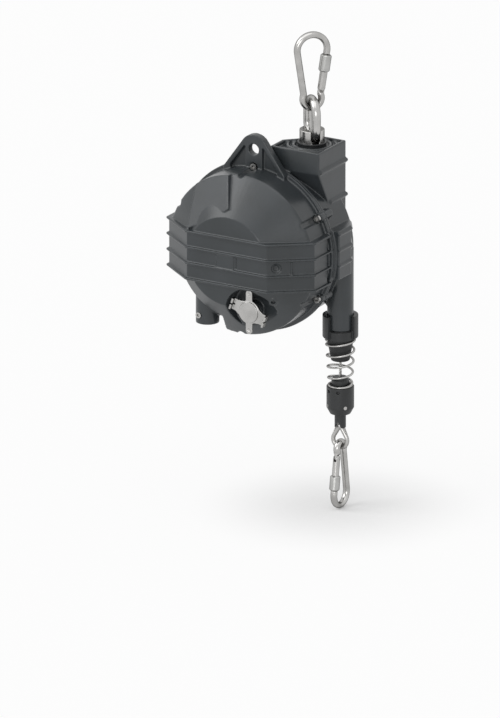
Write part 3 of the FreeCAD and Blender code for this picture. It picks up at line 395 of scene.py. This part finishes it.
def wall_distance(angle):
    """How far the tower's walls are from the swivel, in mm, in each direction: the nearest of
    the four sides and the cut corner. A wall's distance is its offset / cos(angle between)."""
    x, y = (collar_middle.x - drum_origin.x) / MM, (collar_middle.y - drum_origin.y) / MM
    corner = (x - y - (wall_left - wall_back + corner_cut)) / math.sqrt(2)
    walls = {0: wall_right - x, 90: wall_back - y, 180: x - wall_left, 270: y - wall_front, 135: corner}
    nearest = np.full(angle.shape, np.inf)
    for way, offset in walls.items():
        facing = np.cos(angle - math.radians(way))
        distance = (offset - into_wall) / np.maximum(facing, 1e-3)
        nearest = np.where(facing > 1e-3, np.minimum(nearest, distance), nearest)
    return nearest


round_swivel = np.radians(np.arange(0, 360, 0.75))
outward_share = np.linspace(0, 1, 40)
from_swivel = web_inner + (wall_distance(round_swivel)[:, None] - web_inner) * outward_share
# A rib is full height within half its width and falls away beside it.
off_rib = np.min([np.abs(from_swivel - radius) for radius in rib_radii], axis=0)
web_top = -web_down + rib_high * np.clip(1.5 - off_rib / rib_wide, 0, 1)
web_foot = np.full_like(web_top, -web_down - web_thick)
web = turned_grid(collar_middle, round_swivel,
                  MM * np.concatenate([from_swivel, from_swivel[:, ::-1]], axis=1),
                  tower_rim + MM * np.concatenate([web_top, web_foot], axis=1))
print("web from", web_inner, "to", round(float(from_swivel.max()), 1), "mm round the swivel")

# %% The wall that closes the slit, and the rear housing's skin
bore_radius, nozzle_radius = 15 * MM, 18.5 * MM
tube_low, tube_high = drum_origin.z - 26 * MM, drum_origin.z + 1 * MM
tube = turned_grid(middle("cable_guide"), round_swivel,
                   np.array([bore_radius, nozzle_radius, nozzle_radius, bore_radius]),
                   np.array([tube_low, tube_low, tube_high, tube_high]))
rounded_skin("rear_housing", 1.1 * MM, 3, 0.3, (web, tube))


# %% [markdown]
# ## Round bar and wire
# The hooks and the ring are bent from round bar, a spring is one drawn wire bent into a coil,
# and a steel cable is six strands laid round each other. All are a circle carried along a path.
# At each point of the path stand two directions square to it, and the circle is drawn in their
# plane. A strand's path is itself a spiral round the cable's middle line. A remesh would leave
# faint facets, which a bright bar shows at once, and a swept circle leaves none.

# %% A circle carried along a path
def carried_circle(path, first, second, radius, sides):
    """Points of a circle at each point of a path: path + radius * (first * cos(a) + second * sin(a)),
    with a going once round. first and second are unit directions square to the path."""
    a = np.linspace(0, 2 * math.pi, sides, endpoint=False)[None, :, None]
    radius = np.broadcast_to(np.asarray(radius, float), (len(path),))[:, None, None]
    rings = path[:, None] + radius * (first[:, None] * np.cos(a) + second[:, None] * np.sin(a))
    return rings.reshape(-1, 3)


def tube_piece(name, tubes, sides, loop=False):
    """One smooth mesh of several tubes, given as grids of ring points. The ends of each are
    closed by a flat face, or joined to each other in a loop."""
    points, faces, start = [], [], 0
    for rings in tubes:
        count = len(rings) // sides
        quads = grid_faces(count, sides, loop) + start
        # The volume's sign tells whether the faces look outwards.
        a, b, c, d = (rings[quads[:, k] - start] for k in range(4))
        volume = np.einsum("ij,ij->", a, np.cross(b, c)) + np.einsum("ij,ij->", a, np.cross(c, d))
        near = list(range(start + sides - 1, start - 1, -1))
        far = list(range(start + (count - 1) * sides, start + count * sides))
        ends = [] if loop else [near, far]
        if volume < 0:
            quads, ends = quads[:, ::-1], [end[::-1] for end in ends]
        faces += quads.tolist() + ends
        points.append(rings)
        start += len(rings)
    mesh = bpy.data.meshes.new(name)
    mesh.from_pydata(np.concatenate(points).tolist(), [], faces)
    mesh.shade_smooth()
    piece = bpy.data.objects.new(name, mesh)
    bpy.context.scene.collection.objects.link(piece)
    print(name, "faces:", len(faces))
    return piece


print("points of a circle carried along four points:",
      len(carried_circle(np.zeros((4, 3)), np.eye(4, 3), np.eye(4, 3), 1.0, 14)))


# %% [markdown]
# ## Hooks and ring
# The ring and both snap hooks are bent from round steel bar. A hook's bar runs from its nose
# round the wide bend, down the back, in at the waist and round the narrow bend. There it is
# milled flat for the fork of the gate. As the path is lines and arcs in one plane, the circle
# is carried along it, and where the bar is milled, the circle is cut off on both sides.

# %% Lines and arcs
def unit(rows):
    """Each row divided by its length."""
    return rows / np.linalg.norm(rows, axis=1, keepdims=True)


def turn_about(middle, radius, start, end):
    """Points on an arc: middle + radius * (cos a, sin a), with a from start to end in degrees."""
    a = np.radians(np.linspace(start, end, max(6, round(abs(end - start) / 3))))
    return np.asarray(middle) + radius * np.column_stack([np.cos(a), np.sin(a)])


def travelled(path):
    """The distance along a path to each of its points."""
    return np.concatenate([[0], np.cumsum(np.linalg.norm(np.diff(path, axis=0), axis=1))])


def evenly(path, step):
    """The same path with its points the same distance apart."""
    gone = travelled(path)
    wanted = np.linspace(0, gone[-1], max(2, round(gone[-1] / step)))
    return np.column_stack([np.interp(wanted, gone, path[:, k]) for k in range(path.shape[1])])


def in_plane(flat_path, origin, across, upward):
    """A path of (across, up) pairs placed in space: origin + across * first + upward * second."""
    first, second = flat_path[:, :1], flat_path[:, 1:]
    return np.asarray(origin) + first * np.asarray(across) + second * np.asarray(upward)


print("points of a half turn:", len(turn_about((0, 0), 1.0, 0, 180)))


# %% A snap hook's outline and section
bar_sides = 28          # points round a bar
waist_bend = 8.0        # radius of the bends at the waist
nose_travel = 4.5       # straight end of the nose, inside the sleeve
nose_chamfer = 0.9      # how far the nose is chamfered
bar_step = 0.7          # distance between points along a bar
eye_less = 0.8          # how much smaller than the bar's radius the milled eye's is
milled_share = 0.36     # the milled end's half thickness, as a share of the bar's radius


def hook_outline(length, wire, wide, waist, narrow):
    """A hook's middle line from nose to pin, as (across, up) pairs in mm. wide, waist and narrow
    are half widths over the bar, and wire is the bar's radius."""
    wide, waist, narrow = wide - wire, waist - wire, narrow - wire
    small, large = np.array([0, narrow - wire]), np.array([0, length - 3 * wire - wide])
    lean = math.asin((wide - waist) / (large[1] - small[1]))
    rise = math.sqrt((narrow + waist_bend) ** 2 - (waist + waist_bend) ** 2)
    side = np.array([math.cos(lean), -math.sin(lean)])
    rising = np.array([math.sin(lean), math.cos(lean)])
    mirror = np.array([-1, 1])
    foot, nose = small + side * waist + rising * rise, large + side * wide
    tilt, turn = math.degrees(lean), math.degrees(math.atan2(rise, waist + waist_bend) - lean)
    pin = foot + rising * (wire + 1)
    # The line stops just short of the eye's edge, where the section would shrink to nothing.
    return evenly(np.concatenate([
        [nose - rising * nose_travel], turn_about(large, wide, -tilt, 180 + tilt),
        turn_about((foot + side * waist_bend) * mirror, waist_bend, tilt, -turn),
        turn_about(small, narrow, 180 - turn, 360 + turn),
        turn_about(foot + side * waist_bend, waist_bend, 180 + turn, 180 - tilt),
        [pin + rising * (wire - eye_less) * 0.999]]), bar_step)


def bar_section(flat_path, wire):
    """Half the bar's width and thickness at each point, in mm. Round the pin its width follows a
    circle, and its thickness drops to the milled flat; at the nose both have a chamfer."""
    gone = travelled(flat_path)
    left = gone[-1] - gone
    eye = wire - eye_less
    past_pin = np.clip(eye - left, 0, eye * 0.98)
    round_end = np.sqrt(eye ** 2 - past_pin ** 2)
    nose_end = wire - np.clip(nose_chamfer - gone, 0, nose_chamfer)
    width = np.interp(left, [eye + wire, eye + wire + 4], [eye, wire])
    thickness = np.interp(left, [eye + wire - 1, eye + wire + 2], [wire * milled_share, wire])
    return np.minimum(np.minimum(width, round_end), nose_end), np.minimum(thickness, nose_end)


# %% Snap hooks
joints = frame["record"]["behaviour"]["joints"]


def hook_bar(node, *sizes):
    """The bent bar of a snap hook; sizes are hook_outline's wire, wide, waist and narrow."""
    low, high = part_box(node)
    wire = sizes[0]
    upside_down = middle(node + "_sleeve").z < middle(node).z
    up = Vector((0, 0, -1 if upside_down else 1))
    foot_height = high.z - 2 * wire * MM if upside_down else low.z + 2 * wire * MM
    swing = next(joint for joint in joints if joint["child"] == body_of[node])
    origin = Vector((*swing["pos_m"][:2], foot_height))
    to_gate = middle(node + "_gate") - origin
    out = Vector((to_gate.x, to_gate.y, 0)).normalized()
    flat_path = hook_outline((high.z - low.z) / MM, *sizes)
    half_wide, half_thick = bar_section(flat_path, wire)
    path = in_plane(flat_path * MM, origin, out, up)
    flat = np.array(out.cross(up))
    across = np.cross(unit(np.gradient(path, axis=0)), flat)
    a = np.linspace(0, 2 * math.pi, bar_sides, endpoint=False)
    width = half_wide[:, None] * np.cos(a)
    thick = np.clip(wire * np.sin(a), -half_thick[:, None], half_thick[:, None])
    rings = path[:, None] + MM * (across[:, None] * width[..., None] + flat * thick[..., None])
    dress(tube_piece(node + "_bar", [rings.reshape(-1, 3)], bar_sides), node)


hook_bar("suspension_hook", 5.5, 27.2, 16.8, 19.0)
hook_bar("tool_hook", 5.0, 22.5, 12.6, 14.3)

# %% Eye ring
ring_wire, ring_half_width = 6.2, 26.0
ring_low, ring_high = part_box("eye_ring")
ring_flat = np.array(next(joint for joint in joints if joint["name"] == "ring_swing")["axis"])
ring_across = np.cross((0, 0, 1), ring_flat)
ring_bend = ring_half_width - ring_wire
ring_rise = (ring_high.z - ring_low.z) / MM / 2 - ring_wire - ring_bend
oval = np.concatenate([turn_about((0, -ring_rise), ring_bend, 180, 360),
                       turn_about((0, ring_rise), ring_bend, 0, 180)])
oval = evenly(np.concatenate([oval, oval[:1]]), 0.9)[:-1]
ring_path = in_plane(oval * MM, (ring_low + ring_high) / 2, ring_across, (0, 0, 1))
ring_along = unit(np.roll(ring_path, -1, axis=0) - np.roll(ring_path, 1, axis=0))
ring_out = np.cross(ring_along, ring_flat)
ring_points = carried_circle(ring_path, ring_out, np.broadcast_to(ring_flat, ring_out.shape),
                             ring_wire * MM, bar_sides)
dress(tube_piece("eye_ring_bar", [ring_points], bar_sides, loop=True), "eye_ring")


# %% [markdown]
# ## The bumper spring
# This conical compression spring softens the clamp's knock against the guide. Its wire is 3 mm
# thick. Each end is closed: the last turn lies flat on its seat, and only the turns between
# climb, 16 mm each. It gets wider upwards. Its wire's height is one formula of the turn, so
# that the wire bends softly where it leaves its seat.

# %% Bumper spring
def climb(turn, pitch, low, high, softness):
    """Height of the wire: pitch times the turn, held between low and high with a soft change."""
    raised = low + softness * np.logaddexp(0, (pitch * turn - low) / softness)
    return high - softness * np.logaddexp(0, (high - raised) / softness)


guide_low, guide_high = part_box("cable_guide")
cable_low, cable_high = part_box("cable")
cable_middle = (cable_low + cable_high) / 2
spring_wire, spring_pitch = 1.55 * MM, 16.2 * MM
spring_sides = 14
coil_foot, coil_top = 16.3 * MM, 20.2 * MM      # the coil's radius below and above
first_turn, last_turn = -1.2, 4.75              # turns before 0 lie on the lower seat
start_angle = np.radians(210.5 + 0.33 * 360)    # where the wire begins to climb
seat_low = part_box("stop_clamp")[1].z + spring_wire - 0.4 * MM
seat_high = guide_low.z - spring_wire - 0.3 * MM
turns = np.linspace(first_turn, last_turn, 1200)
height = climb(turns, spring_pitch, 0.0, seat_high - seat_low, 0.7 * MM) + seat_low
coil_radius = np.interp(height, [seat_low, seat_high], [coil_foot, coil_top])
around = start_angle + 2 * math.pi * turns
outward = np.column_stack([np.cos(around), np.sin(around), np.zeros_like(around)])
coil = np.array([cable_middle.x, cable_middle.y, 0]) + outward * coil_radius[:, None]
coil[:, 2] = height
along = unit(np.gradient(coil, axis=0))
first = unit(outward - along * np.einsum("ij,ij->i", outward, along)[:, None])
wire_points = carried_circle(coil, first, np.cross(along, first), spring_wire, spring_sides)
dress(tube_piece("bumper_spring_wire", [wire_points], spring_sides), "bumper_spring")


# %% [markdown]
# ## The cable and its eye
# The cable is a 4 mm wire rope. Light breaks up on its strands, which a plain cylinder can't
# show. It comes down through the nozzle, the bumper and the spring into the clamp, and below
# the clamp it goes round a thimble and back into the ferrule. When the drum pays out, the
# cable's upper end stays with the casing, and the part between the casing and the guide's top
# grows.

# %% Stranded cable
def laid_strands(path, flat, radius, lay, sides):
    """Six strands round a path: each strand's middle is path + 2/3 radius * (across * cos(a) +
    flat * sin(a)), where a grows by one turn per lay of path. A strand's own radius is a little
    over 1/3, so that the strands press into each other."""
    along = unit(np.gradient(path, axis=0))
    flat = np.broadcast_to(np.asarray(flat, float), path.shape)
    across = np.cross(along, flat)
    gone = travelled(path)
    strands = []
    for strand in range(6):
        a = (2 * math.pi * (gone / lay + strand / 6))[:, None]
        middle_line = path + 2 / 3 * radius * (across * np.cos(a) + flat * np.sin(a))
        strands.append(carried_circle(middle_line, across, flat, radius / 3 * 1.04, sides))
    return strands


cable_radius = (cable_high.x - cable_low.x) / 2
rope_lay, strand_sides = 24 * MM, 8
straight = np.array([[cable_middle.x, cable_middle.y, z] for z in (cable_high.z, cable_low.z)])
strands = laid_strands(evenly(straight, 0.8 * MM), (0, 1, 0), cable_radius, rope_lay, strand_sides)
rope = tube_piece("steel_cable", strands, strand_sides)
rope.data.materials.append(finishes["bright_steel"])
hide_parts("cable")
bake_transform(rope)

# %% The cable's eye
def eye_path(low, high, half):
    """A drop-shaped loop in the plane of the drum: a line down, a round bend and a line up."""
    bend = (high.x - low.x) / 2 - cable_radius
    centre_x, centre_z = (low.x + high.x) / 2, low.z + cable_radius + bend
    rise = high.z - centre_z
    lean = math.atan2(rise, half) - math.acos(bend / math.hypot(half, rise))
    a = np.linspace(math.pi - lean, 2 * math.pi + lean, 90)
    x = np.concatenate([[centre_x - half], centre_x + bend * np.cos(a), [centre_x + half]])
    z = np.concatenate([[high.z], centre_z + bend * np.sin(a), [high.z]])
    return np.column_stack([x, np.full_like(x, (low.y + high.y) / 2), z])


eye_low, eye_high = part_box("cable_eye")
drop = evenly(eye_path(eye_low, eye_high, cable_radius), 0.7 * MM)
strands = laid_strands(drop, (0, 1, 0), cable_radius, rope_lay, strand_sides)
dress(tube_piece("cable_eye_strands", strands, strand_sides), "cable_eye")


# %% [markdown]
# ## Floor and light
# The balancer hangs above a wide white floor that runs on to a white sky, so no hard line crosses
# the picture. The paint and the steel reflect that sky. Broad lamps, as far off as the sun, light
# floor and object evenly, one from the left and one from above, each so wide that every shadow
# is soft. A weaker one in front draws the bright line along each steel bar.

# %% The floor
low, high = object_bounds()
centre = (low + high) / 2
floor_height = low.z - 0.5 * MM


def white_floor(reach):
    """A flat square, reach metres to each side, just below the lowest hook."""
    corners = np.array([(-1, -1), (1, -1), (1, 1), (-1, 1)]) * reach
    points = np.column_stack([corners + np.array([centre.x, centre.y]), np.full(4, floor_height)])
    mesh = bpy.data.meshes.new("white_floor")
    mesh.from_pydata(points.tolist(), [], [(0, 1, 2, 3)])
    floor = bpy.data.objects.new("white_floor", mesh)
    bpy.context.scene.collection.objects.link(floor)
    return floor


def seen_directly(tree):
    """1 for camera, glossy and transmitted rays, 0 for the rest."""
    path = add(tree, "LightPath")
    first = add(tree, "Math", {"operation": "ADD"})
    tree.links.new(path.outputs["Is Camera Ray"], first.inputs[0])
    tree.links.new(path.outputs["Is Glossy Ray"], first.inputs[1])
    second = add(tree, "Math", {"operation": "ADD", "use_clamp": True})
    tree.links.new(first.outputs["Value"], second.inputs[0])
    tree.links.new(path.outputs["Is Transmission Ray"], second.inputs[1])
    return second.outputs["Value"]


floor = white_floor(400.0)
paper, tree, output = new_material("white_studio_floor")
fibre = grain(tree, 3 * MM, 3.0)
tone = ramp(tree, fibre.outputs["Fac"], [(0.3, colour("F4F4F4")), (0.7, colour("F6F6F6"))])
matt = add(tree, "BsdfDiffuse", None, {"Color": tone.outputs["Color"]})
lift = add(tree, "Emission", None, {"Color": colour("FFFFFF"), "Strength": 1.0})
# Near the hook's foot the paper's own light gives way, so the floor there is a little darker as painted
# shade round the foot, and the small soft shadow that the lamps cast there shows.
place = add(tree, "TexCoord")
hook_middle = middle("tool_hook")
to_foot = (-hook_middle.x, -hook_middle.y, -floor_height)
shifted = add(tree, "Mapping", {"vector_type": "POINT"},
              {"Vector": place.outputs["Object"], "Location": to_foot})
away = add(tree, "VectorMath", {"operation": "LENGTH"}, {"Vector": shifted.outputs["Vector"]})
glow = add(tree, "MapRange", {"interpolation_type": "SMOOTHSTEP"}, {
    "Value": away.outputs["Value"], "From Min": 20 * MM, "From Max": 220 * MM,
    "To Min": 0.2, "To Max": 0.85})
share = add(tree, "Math", {"operation": "MULTIPLY"})
tree.links.new(seen_directly(tree), share.inputs[0])
tree.links.new(glow.outputs["Result"], share.inputs[1])
both = add(tree, "MixShader", None, {"Fac": share.outputs["Value"]})
tree.links.new(matt.outputs["BSDF"], both.inputs[1])
tree.links.new(lift.outputs["Emission"], both.inputs[2])
tree.links.new(both.outputs["Shader"], output.inputs["Surface"])
floor.data.materials.append(paper)
print("floor at", round(floor_height / MM, 1), "mm")

# %% The sky and the lamps
world = bpy.data.worlds.new("studio")
bpy.context.scene.world = world
world.use_nodes = True
world.node_tree.nodes.clear()
sky_level = add(world.node_tree, "MapRange", None,
                {"Value": seen_directly(world.node_tree), "To Min": 0.5, "To Max": 1.0})
sky = add(world.node_tree, "Background", None,
          {"Color": colour("FFFFFF"), "Strength": sky_level.outputs["Result"]})
add(world.node_tree, "OutputWorld", None, {"Surface": sky.outputs["Background"]})


def broad_lamp(name, azimuth, elevation, spread, level):
    """A sun lamp, the same from every distance. Azimuth 0 shines from the front and 90 from the
    right; spread is how wide it looks, in degrees, and level is how bright a white face turned
    to it comes out."""
    light = bpy.data.lights.new(name, "SUN")
    light.angle = math.radians(spread)
    light.energy = level * math.pi
    lamp = bpy.data.objects.new(name, light)
    bpy.context.scene.collection.objects.link(lamp)
    a, e = math.radians(azimuth), math.radians(elevation)
    way = Vector((math.sin(a) * math.cos(e), -math.cos(a) * math.cos(e), math.sin(e)))
    lamp.location = centre + way * 3
    lamp.rotation_mode = "QUATERNION"
    lamp.rotation_quaternion = way.to_track_quat("Z", "Y")


broad_lamp("key_left", -50, 36, 34, 0.29)
broad_lamp("top", -10, 72, 60, 0.25)
broad_lamp("front", 18, 8, 30, 0.2)


# %% [markdown]
# ## The camera
# A product picture is taken from far away with a very long lens, so upright edges stay parallel
# and near and far parts keep their true sizes. The camera stands a third of the way from the
# front to the right side, and a little above.

# %% Camera
camera_azimuth, camera_elevation = math.radians(30.5), math.radians(18.5)
camera_distance, picture_height = 30.0, 998 * MM
right = Vector((math.cos(camera_azimuth), math.sin(camera_azimuth), 0))
back = Vector((math.sin(camera_azimuth) * math.cos(camera_elevation),
               -math.cos(camera_azimuth) * math.cos(camera_elevation), math.sin(camera_elevation)))
upward = back.cross(right)
# The picture's middle lies below the drum, between the two hooks.
target = drum_origin + right * (-11.8 * MM) + upward * (-158.5 * MM)
lens = bpy.data.cameras.new("camera")
lens.sensor_width = 36
lens.lens = lens.sensor_width * camera_distance / picture_height
lens.clip_start, lens.clip_end = 1, 2000
camera = bpy.data.objects.new("camera", lens)
bpy.context.scene.collection.objects.link(camera)
camera.location = target + back * camera_distance
camera.rotation_mode = "QUATERNION"
camera.rotation_quaternion = back.to_track_quat("Z", "Y")
bpy.context.scene.camera = camera
bpy.context.scene.view_settings.view_transform = "Standard"
print("lens", round(lens.lens, 1), "mm")
